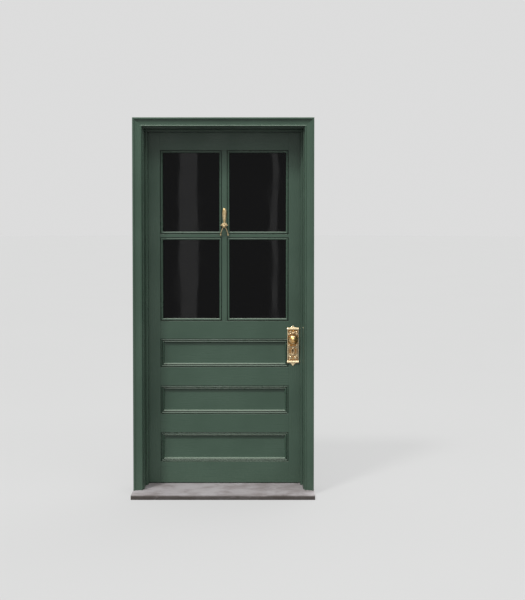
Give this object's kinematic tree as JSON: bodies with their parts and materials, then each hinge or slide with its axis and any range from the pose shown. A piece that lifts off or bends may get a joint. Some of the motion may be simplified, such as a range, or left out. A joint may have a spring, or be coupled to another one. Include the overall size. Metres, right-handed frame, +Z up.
{
  "type": "panelled front door",
  "caption": "Painted timber front door with a glazed upper half and moulded panels below, hung in its moulded frame on a stone sill, with knob, key plate and knocker.",
  "frame": {"origin": "middle of the underside of the stone sill, in the plane of the outside face of the closed leaf", "axes": "+X to the right seen from outside, +Y into the house, +Z up"},
  "size_m": [0.988, 0.3585, 2.0526],
  "materials": {
    "painted_wood": "green gloss paint",
    "pane_glass": "clear, dark behind",
    "brass": "worn polished brass",
    "steel": "satin",
    "stone": "worn"
  },
  "bodies": {
    "frame": {"stone_sill": "stone", "hinge_jamb": "painted_wood", "lock_jamb": "painted_wood", "head_jamb": "painted_wood", "hinge_stop": "painted_wood", "lock_stop": "painted_wood", "head_stop": "painted_wood", "hinge_casing": "painted_wood", "lock_casing": "painted_wood", "head_casing": "painted_wood", "strike_plate": "brass", "strike_screws": "brass", "frame_hinge_plates": "steel", "frame_hinge_screws": "steel", "hinge_pins": "steel"},
    "leaf": {"hinge_stile": "painted_wood", "lock_stile": "painted_wood", "bottom_rail": "painted_wood", "lower_cross_rail": "painted_wood", "upper_cross_rail": "painted_wood", "lock_rail": "painted_wood", "top_rail": "painted_wood", "upright_bar": "painted_wood", "left_cross_bar": "painted_wood", "right_cross_bar": "painted_wood", "lower_panel": "painted_wood", "middle_panel": "painted_wood", "upper_panel": "painted_wood", "lower_moulding": "painted_wood", "middle_moulding": "painted_wood", "upper_moulding": "painted_wood", "inside_mouldings": "painted_wood", "upper_left_beads": "painted_wood", "upper_right_beads": "painted_wood", "lower_left_beads": "painted_wood", "lower_right_beads": "painted_wood", "inside_beads": "painted_wood", "upper_left_pane": "pane_glass", "upper_right_pane": "pane_glass", "lower_left_pane": "pane_glass", "lower_right_pane": "pane_glass", "outside_escutcheon": "brass", "inside_escutcheon": "brass", "knocker_plate": "brass", "knocker_pin": "brass", "escutcheon_screws": "brass", "lock_screws": "brass", "leaf_hinge_plates": "steel", "leaf_hinge_screws": "steel", "lock_case": "steel"},
    "knobs": {"latch_hub": "steel", "knob_spindle": "steel", "outside_knob": "brass", "inside_knob": "brass"},
    "latch": {"latch_bolt": "steel"},
    "bolt": {"dead_bolt": "steel"},
    "striker": {"knocker_striker": "brass"}
  },
  "joints": [
    {"name": "leaf_swing", "type": "hinge", "parent": "frame", "child": "leaf", "pos_m": [-0.4335, 0.051, 0], "axis": [0, 0, 1], "range_deg": [0, 110]},
    {"name": "knob_turn", "type": "hinge", "parent": "leaf", "child": "knobs", "pos_m": [0.382, 0, 0.833], "axis": [0, 1, 0], "range_deg": [0, 50]},
    {"name": "latch_slide", "type": "slide", "parent": "leaf", "child": "latch", "axis": [1, 0, 0], "range_m": [0, 0.0127]},
    {"name": "dead_bolt_throw", "type": "slide", "parent": "leaf", "child": "bolt", "axis": [1, 0, 0], "range_m": [0, 0.014]},
    {"name": "knocker_swing", "type": "hinge", "parent": "leaf", "child": "striker", "pos_m": [0, -0.01, 1.468], "axis": [-1, 0, 0], "range_deg": [0, 75]}
  ],
  "couplings": [
    {"joint": "latch_slide", "follows": "knob_turn", "m_per_rad": 0.01453}
  ]
}
